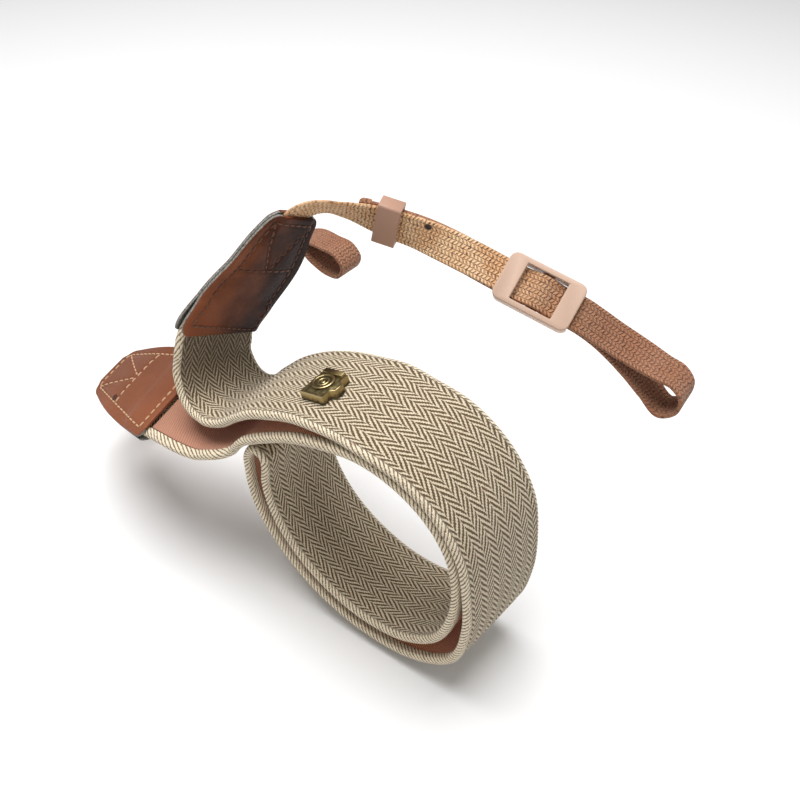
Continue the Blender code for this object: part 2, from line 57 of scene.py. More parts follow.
# Band: woollen herringbone tweed, folded double into a coil and curled up at its free end.
# Its long edges are turned over and sewn down on the back, and the tabs press its ends.
MM = 0.001
COIL_RADIUS = 37.4
BAND_WIDTH = 38.0
BAND_THICKNESS = 3.0
BAND_HEM = 3.6
FACE_THICKNESS = 1.4
RUN_SPACING = 3.6
FOLD_RADIUS = 3.6
FOLD_ANGLE = -194
FOLD_FLARE = 0.04
TAB_LENGTH = 53.5
TAB_WIDE = 42.0
TAB_NARROW = 22.5
TAB_CORNER = 3.5
TAB_BULGE = 2.1
BAND_TUCK = 12.0
PRESSED = 0.5
BAND_STEP = 0.8
ROUTE_STEP = 0.4
STOP_SCALE = np.array([COIL_RADIUS, BAND_WIDTH, COIL_RADIUS, 1.0, 1.0])

# Columns: x and z in coil radii, y in band widths, then the heading and the slope, in
# degrees, of the way across the strap.
TAIL_B = (
    (-3.775, 0.02, -0.318, 1, 18), (-3.080, -0.10, -0.040, 1, 19),
    (-2.345, -0.18, 0.130, 0, 16), (-2.075, -0.17, 0.070, 0, 5),
    (-1.842, -0.14, 0.045, 0, -1), (-1.618, -0.10, 0.130, 0, 0),
    (-1.460, -0.05, 0.240, 0, 1), (-1.275, -0.02, 0.450, 0, 2),
    (-1.136, -0.01, 0.556, 0, 3), (-0.936, 0.00, 0.684, 0, 4),
    (-0.682, 0.00, 0.826, 0, 5),
)
TAIL_A = (
    (-0.214, 0.02, 1.094, 1, 6), (-0.479, 0.03, 1.051, 1, 4), (-0.738, 0.04, 0.987, 0, 3),
    (-0.987, 0.04, 0.885, 0, 3), (-1.222, 0.04, 0.759, 0, 2), (-1.433, 0.05, 0.594, 0, 2),
    (-1.628, 0.05, 0.412, 1, 1), (-1.735, 0.05, 0.332, 3, -1), (-1.850, 0.06, 0.267, 5, -5),
    (-1.979, 0.07, 0.241, 6, -9), (-2.104, 0.09, 0.278, 5, -13),
    (-2.198, 0.12, 0.366, 3, -16), (-2.257, 0.15, 0.479, 1, -17),
    (-2.262, 0.19, 0.607, 1, -20), (-2.266, 0.23, 0.735, 0, -24),
    (-2.148, 0.44, 1.052, 1, -31), (-1.977, 0.64, 1.368, 4, -28),
    (-1.809, 0.76, 1.712, 4, -26), (-1.689, 0.86, 1.929, 2, -28),
)
# Columns: angle in degrees, the inner and outer runs' radii as shares of those where the
# strap is tight, and how far the back edge stands out, as a share of the width.
COIL = (
    (112, 1.000, 1.000, 0.08), (90, 1.000, 1.000, 0.10), (68, 1.000, 1.000, 0.12),
    (45, 1.000, 1.000, 0.12), (22, 1.000, 1.000, 0.12), (0, 1.005, 1.010, 0.12),
    (-22, 1.065, 1.115, 0.12), (-45, 1.180, 1.300, 0.12), (-68, 1.225, 1.325, 0.12),
    (-90, 1.190, 1.265, 0.12), (-115, 1.135, 1.205, 0.12), (-140, 1.110, 1.180, 0.12),
    (-165, 1.107, 1.190, 0.09), (-182, 1.107, 1.188, 0.06),
)


def scaled(stops):
    """Rows of a route in millimetres and degrees, from rows in shares of the sizes."""
    return (np.array(stops) * STOP_SCALE).tolist()


def coil_row(radius, angle, flare, along=0.0):
    """Row on the coil: a point at a radius and angle, then moved along the clockwise way."""
    c, s = math.cos(math.radians(angle)), math.sin(math.radians(angle))
    return [radius * c + along * s, 0.0, radius * s - along * c,
            math.degrees(math.asin(flare * c)), math.degrees(math.asin(flare * s))]


def coil_rows():
    """Inner run clockwise, half a turn of FOLD_RADIUS, and the outer run back again."""
    tight = COIL_RADIUS + RUN_SPACING
    inner = [coil_row(COIL_RADIUS * near, angle, flare) for angle, near, far, flare in COIL]
    outer = [coil_row(tight * far, angle, flare) for angle, near, far, flare in COIL[1:]]
    middle = (COIL_RADIUS * COIL[-1][1] + tight * COIL[-1][2]) / 2
    fold = [coil_row(middle - FOLD_RADIUS * math.cos(turn), FOLD_ANGLE, FOLD_FLARE,
                     FOLD_RADIUS * math.sin(turn)) for turn in np.linspace(0, math.pi, 5)]
    return inner + fold + outer[::-1]


class Route:
    """A cubic through rows of x y z turn lift, with slopes weighted by the chords beside
    each row. Every point of it has its along, across and normal = along x across.

    Between two rows it is Hermite's: (2t^3 - 3t^2 + 1) first + (3t^2 - 2t^3) second, and
    (t^3 - 2t^2 + t) and (t^3 - t^2) times the chord and the two slopes."""

    def __init__(self, rows):
        rows = np.array(rows, float)
        chord = np.linalg.norm(np.diff(rows[:, :3], axis=0), axis=1)
        place = np.concatenate([[0.0], np.cumsum(chord)])
        slope = np.diff(rows, axis=0) / chord[:, None]
        tangent = np.empty_like(rows)
        tangent[0], tangent[-1] = slope[0], slope[-1]
        before, after = chord[:-1, None], chord[1:, None]
        tangent[1:-1] = (slope[:-1] * after + slope[1:] * before) / (before + after)
        fine = np.linspace(0.0, place[-1], int(place[-1] / ROUTE_STEP) + 2)
        k = np.clip(np.searchsorted(place, fine, side="right") - 1, 0, len(chord) - 1)
        h = chord[k][:, None]
        t = (fine - place[k])[:, None] / h
        self.rows = ((2 * t**3 - 3 * t**2 + 1) * rows[k] + (t**3 - 2 * t**2 + t) * h * tangent[k]
                     + (3 * t**2 - 2 * t**3) * rows[k + 1] + (t**3 - t**2) * h * tangent[k + 1])
        step = np.linalg.norm(np.diff(self.rows[:, :3], axis=0), axis=1)
        self.arc = np.concatenate([[0.0], np.cumsum(step)])
        self.length = self.arc[-1]
        self.stops = np.interp(place, fine, self.arc)
        self.along = np.gradient(self.rows[:, :3], self.arc, axis=0)

    def read(self, values, distances):
        """Columns of values along the fine line, read off at some distances."""
        return np.stack([np.interp(distances, self.arc, v) for v in values.T], axis=1)

    def frames(self, distances):
        """Point, along, across and normal at each distance."""
        rows, along = self.read(self.rows, distances), self.read(self.along, distances)
        along /= np.linalg.norm(along, axis=1)[:, None]
        turn, lift = np.radians(rows[:, 3]), np.radians(rows[:, 4])
        across = np.stack([np.sin(turn) * np.cos(lift), np.cos(turn) * np.cos(lift),
                           np.sin(lift)], axis=1)
        across -= along * (across * along).sum(1)[:, None]
        across /= np.linalg.norm(across, axis=1)[:, None]
        return rows[:, :3], along, across, np.cross(along, across)

    def frame_at(self, distance):
        """The same four vectors at a single distance."""
        return [part[0] for part in self.frames(np.array([distance]))]

    def place(self, distances, u, v):
        """Points at distances along, as point + u across + v normal. The three arrays are
        stretched to one shape."""
        distances, u, v = np.broadcast_arrays(distances, u, v)
        point, along, across, normal = self.frames(distances.ravel())
        points = point + across * u.reshape(-1, 1) + normal * v.reshape(-1, 1)
        return points.reshape(*distances.shape, 3)


def add_object(name, data):
    """An object that sits at the origin and shows this data."""
    made = bpy.data.objects.new(name, data)
    bpy.context.scene.collection.objects.link(made)
    return made


def surface(name, patches, materials, sharp=180):
    """A mesh of patches (points in mm, UV in mm, columns close up, ends capped, material).
    Points are rows x columns x 3, and each quad joins four neighbours on that grid."""
    points, faces, uvs, slots, base = [], [], [], [], 0
    here, ahead = slice(-1), slice(1, None)
    corners = ((here, here), (here, ahead), (ahead, ahead), (ahead, here))
    for grid, uv, closed, capped, number in patches:
        rows, columns = grid.shape[:2]
        index = base + np.arange(rows * columns).reshape(rows, columns)
        lids, lid_uvs = [index[0], index[-1][::-1]], [uv[0], uv[-1][::-1]]
        if closed:
            index = np.concatenate([index, index[:, :1]], axis=1)
            uv = np.concatenate([uv, 2 * uv[:, -1:] - uv[:, -2:-1]], axis=1)
        quads = np.stack([index[corner] for corner in corners], axis=2).reshape(-1, 4)
        faces += quads.tolist()
        uvs.append(np.stack([uv[corner] for corner in corners], axis=2).reshape(-1, 2))
        slots += [number] * len(quads)
        if capped:
            faces += [lid.tolist() for lid in lids]
            uvs += lid_uvs
            slots += [number] * 2
        points.append(grid.reshape(-1, 3))
        base += rows * columns
    mesh = bpy.data.meshes.new(name)
    mesh.from_pydata((np.concatenate(points) * MM).tolist(), [], faces)
    uv_map = mesh.uv_layers.new(name="UVMap").uv
    uv_map.foreach_set("vector", np.concatenate(uvs).astype(np.float32).ravel())
    for material in materials:
        mesh.materials.append(material)
    mesh.polygons.foreach_set("material_index", np.array(slots, dtype=np.int32))
    bm = bmesh.new()
    bm.from_mesh(mesh)
    bmesh.ops.recalc_face_normals(bm, faces=bm.faces)
    bm.to_mesh(mesh)
    bm.free()
    mesh.shade_smooth()
    if sharp < 180:
        mesh.set_sharp_from_angle(angle=math.radians(sharp))
    return add_object(name, mesh)


class Value:
    """One output of a shader node. Arithmetic on it adds Math nodes."""

    def __init__(self, board, socket):
        self.board, self.socket = board, socket

    def math(self, operation, *others):
        return self.board.node("ShaderNodeMath", {"operation": operation}, (self, *others))

    def __add__(self, other):
        return self.math("ADD", other)

    def __mul__(self, other):
        return self.math("MULTIPLY", other)

    def __sub__(self, other):
        return self.math("SUBTRACT", other)

    def __rsub__(self, other):
        return self.board.node("ShaderNodeMath", {"operation": "SUBTRACT"}, (other, self))

    def __truediv__(self, other):
        return self.math("DIVIDE", other)

    __radd__, __rmul__ = __add__, __mul__

    def step(self, low, high, to_low=0.0, to_high=1.0):
        """A smooth step from to_low at low to to_high at high."""
        settings = {"interpolation_type": "SMOOTHSTEP"}
        return self.board.node("ShaderNodeMapRange", settings, {
            "Value": self, "From Min": low, "From Max": high, "To Min": to_low, "To Max": to_high})


class Board:
    """A material's node tree, with one method that adds any node."""

    def __init__(self, name, colour, roughness, metallic=0.0, **fixed):
        self.material = bpy.data.materials.new(name)
        self.material.use_nodes = True
        self.tree = self.material.node_tree
        self.shader = self.tree.nodes["Principled BSDF"]
        self.shader.inputs["Base Color"].default_value = (*colour, 1.0)
        self.shader.inputs["Roughness"].default_value = roughness
        self.shader.inputs["Metallic"].default_value = metallic
        for socket, value in fixed.items():
            self.shader.inputs[socket.replace("_", " ")].default_value = value

    def node(self, kind, settings=None, values=(), output=0):
        """Add a node: its settings first, then a value or a link for each socket, which go
        by name or in order. Give back one of its outputs."""
        made = self.tree.nodes.new(kind)
        for name, value in (settings or {}).items():
            setattr(made, name, value)
        pairs = values.items() if isinstance(values, dict) else enumerate(values)
        for key, value in pairs:
            if isinstance(value, Value):
                self.tree.links.new(value.socket, made.inputs[key])
            else:
                made.inputs[key].default_value = value
        return Value(self, made.outputs[output])

    def uv(self):
        """The piece's own map: both numbers, then across and along in millimetres."""
        both = self.node("ShaderNodeUVMap", {"uv_map": "UVMap"})
        split = self.node("ShaderNodeSeparateXYZ", values=(both,))
        return both, split, Value(self, split.socket.node.outputs[1])

    def noise(self, vector, scale, detail=2.0):
        """Noise from 0 to 1 round 0.5, finer with a larger scale."""
        return self.node("ShaderNodeTexNoise", values={
            "Vector": vector, "Scale": scale, "Detail": detail})

    def stretched(self, vector, x, y):
        """The vector with its first two parts scaled."""
        return self.node("ShaderNodeMapping", {"vector_type": "POINT"},
                         {"Vector": vector, "Scale": (x, y, 1.0)})

    def spot(self, across, along, middle, size):
        """1 inside an ellipse of a middle and two half sizes on the piece's map, else 0,
        with a soft rim."""
        beside, ahead = (across - middle[0]) / size[0], (along - middle[1]) / size[1]
        return (beside * beside + ahead * ahead).step(0.5, 1.4, 1.0, 0.0)

    def mix(self, share, first, second):
        """A colour from first to second as share goes from 0 to 1."""
        def rgba(colour):
            return colour if isinstance(colour, Value) else (*colour, 1.0)
        return self.node("ShaderNodeMix", {"data_type": "RGBA"}, {
            0: share, 6: rgba(first), 7: rgba(second)}, output=2)

    def feed(self, colour=None, roughness=None, height=None, depth=0.0003, strength=1.0):
        """Link what changes over the surface to the shader, the height through a Bump
        whose depth is in metres."""
        if colour is not None:
            self.tree.links.new(colour.socket, self.shader.inputs["Base Color"])
        if roughness is not None:
            self.tree.links.new(roughness.socket, self.shader.inputs["Roughness"])
        if height is not None:
            bump = self.node("ShaderNodeBump", values={
                "Height": height, "Distance": depth, "Strength": strength})
            self.tree.links.new(bump.socket, self.shader.inputs["Normal"])
        return self.material


HERRINGBONE_COLUMN = 3.05
YARN_PITCH = 2.65
YARN_SLOPE = 1.6
PLY_PITCH = 0.95
EDGE_PITCH = 1.75
EDGE_SLOPE = 1.15
EDGE_START = 16.9
# Painted shade in the curled end: it starts CURL_LENGTH before tab A and grows over CURL_FADE.
CURL_LENGTH = 32.0
CURL_FADE = 26.0
CREAM = (0.80, 0.69, 0.52)
# Painted highlight: a paler cream for the rolled edges.
EDGE_PAINTED_HIGHLIGHT = (0.90, 0.77, 0.57)
CREAM_SHADE = (0.56, 0.450, 0.290)
UMBER = (0.080, 0.048, 0.018)
UMBER_PALE = (0.24, 0.155, 0.066)
ROSY = (0.52, 0.30, 0.22)
# Painted shade for the hollow of the curled end next to tab A.
CURL_PAINTED_SHADE = (0.070, 0.042, 0.024)


def tweed_material():
    """Herringbone: bars slope one way in even columns and back in odd ones, as along +
    slope times a zigzag of across, half a bar apart, so that dark meets light between
    columns. Past EDGE_START ridges of cream twill run over the rolled edge, and the rolled
    edge is painted a paler cream as a painted highlight. From CURL_START to the tab the
    hollow of the curled end is painted duller and darker, with wider dark bars, as painted shade."""
    board = Board("tweed_wool", CREAM, 0.92, Sheen_Weight=0.15, Sheen_Roughness=0.5)
    both, across, along = board.uv()
    wander = board.noise(both, 0.22, 3.0) - 0.5
    fine = board.noise(both, 1.3, 3.0) - 0.5
    bent = across + wander * 0.8
    column = bent / HERRINGBONE_COLUMN
    odd = (column.math("FLOOR") * 0.5).math("FRACT")
    zigzag = bent.math("PINGPONG", HERRINGBONE_COLUMN)
    seam = column.math("PINGPONG", 0.5)
    bars = (along + zigzag * YARN_SLOPE + fine * 0.75) / YARN_PITCH + odd
    edge = across.math("ABSOLUTE").step(EDGE_START, EDGE_START + 0.4)
    twill = (along + across.math("ABSOLUTE") * EDGE_SLOPE + fine * 0.9) / EDGE_PITCH
    phase = bars * (1.0 - edge) + twill * edge
    wave = (phase.math("FRACT") - 0.5).math("ABSOLUTE") * 2.0
    ply = ((along * 0.75 - zigzag * 0.9 + fine * 0.5) / PLY_PITCH).math("PINGPONG", 0.5) * 2.0
    # Painted shade: the hollow of the curled end darkens and its dark bars widen, except on the
    # rolled edges.
    curl_painted_shade = along.step(CURL_START, CURL_START + CURL_FADE) * (1.0 - edge)
    width = 0.35 + fine * 0.6 + ply * 0.26 - edge * 0.16 - seam.step(0.0, 0.08, 0.15, 0.0)
    width += curl_painted_shade * 0.14
    dark = (width - wave).step(-0.18, 0.16) * (1.0 - edge * 0.12)
    speck = board.noise(board.stretched(both, 0.8, 0.35), 1.1, 2.0).step(0.60, 0.70)
    thread = board.noise(both, 3.0, 2.0)
    cream = board.mix(thread.step(0.32, 0.66), CREAM_SHADE, CREAM)
    # Painted highlight: the rolled edges are paler.
    cream = board.mix(edge * 0.7, cream, EDGE_PAINTED_HIGHLIGHT)
    cream = board.mix(speck * 0.6, cream, ROSY)
    umber = board.mix(thread.step(0.35, 0.75) * 0.6, UMBER, UMBER_PALE)
    colour = board.mix(dark, cream, umber)
    # Painted shade in the hollow of the curled end.
    colour = board.mix(curl_painted_shade * 0.52, colour, CURL_PAINTED_SHADE)
    height = (1.0 - dark) * 0.65 + ply * 0.3 + thread * 0.3
    return board.feed(colour, height=height, depth=0.00045, strength=1.0)


FACE_POINTS = 61
SEAM_FROM_MIDDLE = 15.2
SEAM_DIP = 0.22
SEAM_SPREAD = 0.9
# Columns: how far out from the hem's edge and how far down from its top.
HEM_CURVE = ((1.5, 0.0), (0.8, 0.0), (0.35, 0.05), (0.08, 0.35), (0.0, 0.8))
# A point of the flat back between its middle and the hem.
BACK_POINT = 7.0


def band_ring():
    """Once round the band's section, from the middle of its back: across, normal, and the
    distance from the middle of its face. Each edge is half a circle, turned over to a hem.
    The face dips where the hem is sewn down, as SEAM_DIP times e^-d^2."""
    half, r = BAND_WIDTH / 2, BAND_THICKNESS / 2
    face = np.linspace(-half + r, half - r, FACE_POINTS)
    dip = SEAM_DIP * np.exp(-((np.abs(face) - SEAM_FROM_MIDDLE) / SEAM_SPREAD)**2)
    turn = np.radians(np.linspace(-80, 90, 11))
    edge = np.stack([half - r + r * np.cos(turn), r * np.sin(turn)], 1)
    hem, floor = half - BAND_HEM, FACE_THICKNESS - r
    curve = [(hem + out, r - down) for out, down in HEM_CURVE]
    side = np.concatenate([edge, curve, [(hem, floor), (BACK_POINT, floor)]])
    left = np.stack([-side[:, 0], side[:, 1]], 1)[::-1]
    ring = np.concatenate([left, np.stack([face, -r + dip], 1), side, [(0.0, floor)]])
    run = np.concatenate([[0.0], np.cumsum(np.linalg.norm(np.diff(ring, axis=0), axis=1))])
    return ring[:, 0], ring[:, 1], run - run[len(left) + FACE_POINTS // 2]


def tab_half_width(inside):
    """Half the width of a tab at a distance from its wide end, before its corners: a
    straight taper plus a bulge of half a sine."""
    share = np.clip(inside / TAB_LENGTH, 0, 1)
    straight = (TAB_WIDE + (TAB_NARROW - TAB_WIDE) * share) / 2
    return straight + TAB_BULGE * np.sin(np.pi * share)


def ripple(along, across, size):
    """Slow unevenness of cloth: a sum of three sines of along and across."""
    return size * (np.sin(along / 9.3 + across / 11.0) + 0.7 * np.sin(along / 5.1 - across / 7.0)
                   + 0.5 * np.sin(along / 23.0 + across / 5.0)) / 2.2


BAND_RIPPLE = 0.10
strap = Route(scaled(TAIL_B) + coil_rows() + scaled(TAIL_A))
TAB_B_MOUTH, TAB_A_MOUTH = TAB_LENGTH, strap.length - TAB_LENGTH
CURL_START = TAB_A_MOUTH - CURL_LENGTH


def band_mesh():
    """The ring carried along the route, narrower and pressed in the tabs. Its face waves a
    little, and lies still where the leathers hold it."""
    low, high = TAB_B_MOUTH - BAND_TUCK, TAB_A_MOUTH + BAND_TUCK
    at = np.linspace(low, high, int((high - low) / BAND_STEP))[:, None]
    inside = np.maximum(np.maximum(TAB_B_MOUTH - at, at - TAB_A_MOUTH), 0.0)
    room = (tab_half_width(inside) - TAB_CORNER / 2) / (BAND_WIDTH / 2)
    narrow = np.where(inside > 0, np.minimum(1.0, room), 1.0)
    pressed = 1.0 - (1.0 - PRESSED) * inside / BAND_TUCK
    u, v, run = band_ring()
    free, on_face = np.clip(1.0 - inside, 0.0, 1.0), v < -1.0
    waves = ripple(at, u, BAND_RIPPLE) * free * on_face
    grid = strap.place(at, u * narrow, v * pressed + waves)
    uv = np.stack(np.broadcast_arrays(run, at), axis=2)
    return surface("strap_band", [(grid, uv, True, True, 0)], [tweed_material()])


band = band_mesh()
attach(band, "root")
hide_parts("band_face")

# Lining: a rust-red ribbed cloth, one strip laid between the two hems on the band's back.
# Its ribs run across the strap, and it pulls up a little along both of its edges.
LINING_THICKNESS = 0.9
LINING_LIFT = 0.12
LINING_RIPPLE = 0.05
LINING_ROWS = 640
LINING_COLUMNS = 31
GAP = 0.3
RIB_PITCH = 0.85
RIB_THREAD = 0.7
# Painted light: from PAINTED_LIGHT_FROM to PAINTED_LIGHT_FULL past tab B the lining brightens
# towards RUST_PAINTED_LIGHT.
PAINTED_LIGHT_FROM = 22.0
PAINTED_LIGHT_FULL = 50.0
RUST = (0.50, 0.242, 0.155)
RUST_DARK = (0.34, 0.155, 0.098)
RUST_PAINTED_LIGHT = (0.98, 0.48, 0.27)


def lining_material():
    """Ribs as a triangle wave of along, crossed by a finer wave of across. From PAINTED_LIGHT_FROM
    to PAINTED_LIGHT_FULL past tab B the cloth is painted brighter, as painted light, and stays so."""
    board = Board("lining_cloth", RUST, 0.85, Sheen_Weight=0.15)
    both, across, along = board.uv()
    fine = board.noise(both, 1.3, 3.0) - 0.5
    rib = ((along + across * 0.35 + fine * 0.5) / RIB_PITCH).math("PINGPONG", 0.5) * 2.0
    thread = ((across + fine * 0.3) / RIB_THREAD).math("PINGPONG", 0.5) * 2.0
    weave = rib * 0.7 + thread * 0.3
    # Painted light: the lining is brighter past tab B.
    painted_light = along.step(TAB_B_MOUTH + PAINTED_LIGHT_FROM, TAB_B_MOUTH + PAINTED_LIGHT_FULL)
    colour = board.mix(weave.step(0.15, 0.85), RUST_DARK, board.mix(painted_light, RUST, RUST_PAINTED_LIGHT))
    return board.feed(colour, height=weave, depth=0.0002, strength=0.8)


def lining_mesh():
    """A flat ring carried along the free band. Its upper face rises to the edges, as
    LINING_LIFT times share^6, and waves a little."""
    low = FACE_THICKNESS - BAND_THICKNESS / 2 + GAP
    half = BAND_WIDTH / 2 - BAND_HEM - GAP
    face = np.linspace(-half, half, LINING_COLUMNS)
    lift = LINING_LIFT * (np.abs(face) / half)**6
    u = np.concatenate([face[::-1], face])
    v = np.concatenate([np.full_like(face, low), low + LINING_THICKNESS + lift - LINING_LIFT])
    at = np.linspace(TAB_B_MOUTH + GAP, TAB_A_MOUTH - GAP, LINING_ROWS)[:, None]
    grid = strap.place(at, u, v + ripple(at, u, LINING_RIPPLE) * (v > low))
    uv = np.stack(np.broadcast_arrays(u, at), axis=2)
    return surface("strap_lining", [(grid, uv, True, True, 0)], [lining_material()], sharp=50)


lining = lining_mesh()
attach(lining, "root")
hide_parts("band_lining")

# Tabs: at each end of the band two leathers, cut as a tapered tab with round corners, are
# sewn together round the band's end and the webbing. Their cut edges are grey suede.
LEATHER = 1.2
LEATHER_ROUND = 0.45
LEATHER_CROWN = 0.12
TAB_ROWS = 84
TAB_COLUMNS = 61
RIM_SLOPE = 0.7
RIM_SHARE = 0.84
BAND_FADE = 4.0
WEBBING_WIDTH = 11.5
WEBBING_THICKNESS = 1.3
STITCH_INSET = 2.9
CROSS_SEAM = 29.5
V_GAP = 0.8
SEAM_GROOVE = 0.30
GROOVE_SPREAD = 0.75
STITCH_PITCH = 3.1
STITCH_LENGTH = 2.35
STITCH_RADIUS = 0.34
STITCH_FLAT = 0.9
STITCH_SUNK = 0.18
STITCH_BOW = 0.14
STITCH_END = 0.01
THREAD_TWIST = 0.55
CHESTNUT = (0.260, 0.087, 0.042)
CHESTNUT_DARK = (0.024, 0.009, 0.006)
CHESTNUT_SHINE = 0.06
SIENNA = (0.25, 0.083, 0.038)
SIENNA_DARK = (0.185, 0.062, 0.029)
SIENNA_SHINE = 0.16
# Middle and half sizes, across and along.
MARK = ((-11.2, 32.2), (1.5, 1.7))
MARK_DARK = (0.045, 0.012, 0.008)
SUEDE = (0.15, 0.145, 0.12)
SUEDE_DARK = (0.09, 0.086, 0.076)
SUEDE_PALE = (0.36, 0.345, 0.31)
THREAD_A = (0.21, 0.080, 0.038)
THREAD_B = (0.84, 0.53, 0.31)


def leather_material(name, colour, dark, shine, mark=None):
    """Leather: cells for its grain, slow blotches for its colour, painted shade that leaves it
    paler towards its mouth and its front edge, pores in its gloss, and a small dark mark
    where one was pricked."""
    board = Board(name, colour, 0.42, Specular_IOR_Level=shine)
    both, across, along = board.uv()
    blotch = board.noise(both, 0.07, 4.0)
    pores = board.noise(both, 1.4, 4.0)
    cells = board.node("ShaderNodeTexVoronoi", {"feature": "DISTANCE_TO_EDGE"},
                       {"Vector": both, "Scale": 1.1})
    # Blotches plus painted shade: darker away from the mouth and from the front edge.
    mottle_and_painted_shade = blotch * 0.4 + pores * 0.12 - across * 0.009 - along * 0.0025 + 0.22
    hue = board.mix(mottle_and_painted_shade.step(0.30, 0.64), dark, colour)
    rough = pores.step(0.3, 0.7, 0.36, 0.54)
    height = cells.step(0.0, 0.22) * 0.5 + pores * 0.5
    if mark:
        pricked = board.spot(across, along, *mark)
        hue, height = board.mix(pricked * 0.9, hue, MARK_DARK), height - pricked
    return board.feed(hue, roughness=rough, height=height, depth=0.00012, strength=0.7)


def suede_material():
    """Raw cut leather: short fibres as fine noise in colour and height."""
    board = Board("raw_suede", SUEDE, 0.95)
    place = board.node("ShaderNodeTexCoord", output="Object")
    fibre = board.noise(place, 1900.0, 4.0)
    colour = board.mix(fibre.step(0.3, 0.7), SUEDE_DARK, SUEDE_PALE)
    return board.feed(colour, height=fibre, depth=0.0004)


def thread_material(name, colour):
    """Waxed sewing thread, twisted: a wave across its length."""
    board = Board(name, colour, 0.55)
    both, across, along = board.uv()
    twist = ((along + across * 0.6) / THREAD_TWIST).math("PINGPONG", 0.5) * 2.0
    hue = board.mix(twist, tuple(0.45 * part for part in colour), colour)
    return board.feed(hue, height=twist, depth=0.00012)


def seam_lines():
    """The stitched lines of a tab, as rows of distance from the mouth and across: round
    the border, straight across, and a V from the narrow corners to the middle."""
    near, far = STITCH_INSET, TAB_LENGTH - STITCH_INSET
    wide, slim = tab_half_width(near) - near, tab_half_width(far) - near
    cross = np.interp(CROSS_SEAM, (near, far), (wide, slim))
    border = [(near, -wide), (near, wide), (far, slim), (far, -slim), (near, -wide)]
    seams = list(zip(border[:-1], border[1:]))
    seams.append(((CROSS_SEAM, -cross), (CROSS_SEAM, cross)))
    seams += [((far, side * slim), (CROSS_SEAM + V_GAP, side * V_GAP)) for side in (-1, 1)]
    return np.array(seams)


def seam_distance(x, u):
    """Distance from every point of a grid to the nearest seam, as to a line segment."""
    start, end = seam_lines()[:, 0], seam_lines()[:, 1]
    way = end - start
    offset = np.stack([x, u], axis=-1)[..., None, :] - start
    share = np.clip((offset * way).sum(-1) / (way**2).sum(-1), 0, 1)
    return np.linalg.norm(offset - share[..., None] * way, axis=-1).min(-1)


def ease(way):
    """From 0 to 1 as 3 t^2 - 2 t^3, and level before and after."""
    t = np.clip(way, 0, 1)
    return t * t * (3 - 2 * t)


def tab_room(x, u):
    """Half the space between the leathers: over the band, then over the webbing, and shut
    beside it, falling over half of BAND_TUCK from one to the other. From RIM_SHARE of the
    half width it shuts by RIM_SLOPE times the leather's reach past the band."""
    half = tab_half_width(x)
    pressed = 1.0 - (1.0 - PRESSED) * np.clip(x / BAND_TUCK, 0, 1)
    over_band = BAND_THICKNESS / 2 * pressed + 2 * GAP
    over_web = WEBBING_THICKNESS / 2 + GAP
    past = ease((x - BAND_TUCK - GAP) / BAND_FADE)
    middle = np.maximum(over_band, over_web) * (1 - past) + over_web * past
    pinch = np.clip((x - BAND_TUCK - GAP) / (BAND_TUCK / 2), 0, 1)
    edge = middle * (1 - pinch) + GAP / 2 * pinch
    flat, rim = WEBBING_WIDTH / 2 + GAP, half * RIM_SHARE
    share = ease((np.abs(u) - flat) / np.maximum(rim - flat, 0.1))
    band_half = np.minimum(BAND_WIDTH / 2, half - TAB_CORNER / 2)
    beyond = np.clip((np.abs(u) - rim) / (half - rim), 0, 1)
    shut = RIM_SLOPE * (half - band_half) * beyond
    return np.maximum(middle * (1 - share) + edge * share - shut, GAP / 2)


def quarter(way, radius):
    """How much a quarter circle of a radius cuts off at a way in from an end."""
    return radius - np.sqrt(np.maximum(radius**2 - np.maximum(radius - way, 0)**2, 0))


def tab_mesh(name, mouth, way, side, leather):
    """One leather: across = share times the half width, which shrinks at both ends by a
    quarter circle. The outer face dips along its seams as SEAM_GROOVE times e^-d^2, rises
    by a cosine to its middle and is rounded at its rim. Two lids close its ends."""
    corner = TAB_CORNER * (1 - np.cos(np.radians(np.linspace(0, 90, 9))))[:-1]
    middle = np.linspace(TAB_CORNER, TAB_LENGTH - TAB_CORNER, TAB_ROWS)
    x = np.concatenate([corner, middle, TAB_LENGTH - corner[::-1]])[:, None]
    end = np.minimum(x, TAB_LENGTH - x)
    half = tab_half_width(x) - quarter(end, TAB_CORNER)
    share = np.linspace(-1, 1, TAB_COLUMNS)
    u = share * (half - LEATHER_ROUND)
    x, u = np.broadcast_arrays(x, u)
    room = tab_room(x, u)
    groove = SEAM_GROOVE * np.exp(-(seam_distance(x, u) / GROOVE_SPREAD)**2)
    outer = (room + LEATHER - groove - quarter(end, LEATHER_ROUND)
             + LEATHER_CROWN * np.cos(share * np.pi / 2))
    shoulder, low = room[:, -1:] + LEATHER - LEATHER_ROUND, room[:, :1]
    top_u = np.concatenate([-half, u, half], axis=1)
    top_v = np.concatenate([shoulder, outer, shoulder], axis=1)
    rim_u = np.concatenate([half, half, u[:, ::-1], -half, -half], axis=1)
    rim_v = np.concatenate([shoulder, low, room[:, ::-1], low, shoulder], axis=1)
    at = x[:, :1]
    top = strap.place(mouth + way * at, top_u, side * top_v)
    under = strap.place(mouth + way * at, rim_u, side * rim_v)
    patches = [(top, np.stack(np.broadcast_arrays(top_u, at), 2), False, False, 0),
               (under, np.stack(np.broadcast_arrays(rim_u, at), 2), False, False, 1)]
    for row in (0, -1):
        lid = np.stack([top[row, 1:-1], under[row, 2:-2][::-1]])
        lid_uv = np.stack(np.broadcast_arrays(u[row], [[0.0], [2.0]]), axis=2)
        patches.append((lid, lid_uv, False, False, 0))
    return surface(name, patches, [leather, raw_suede], sharp=55)


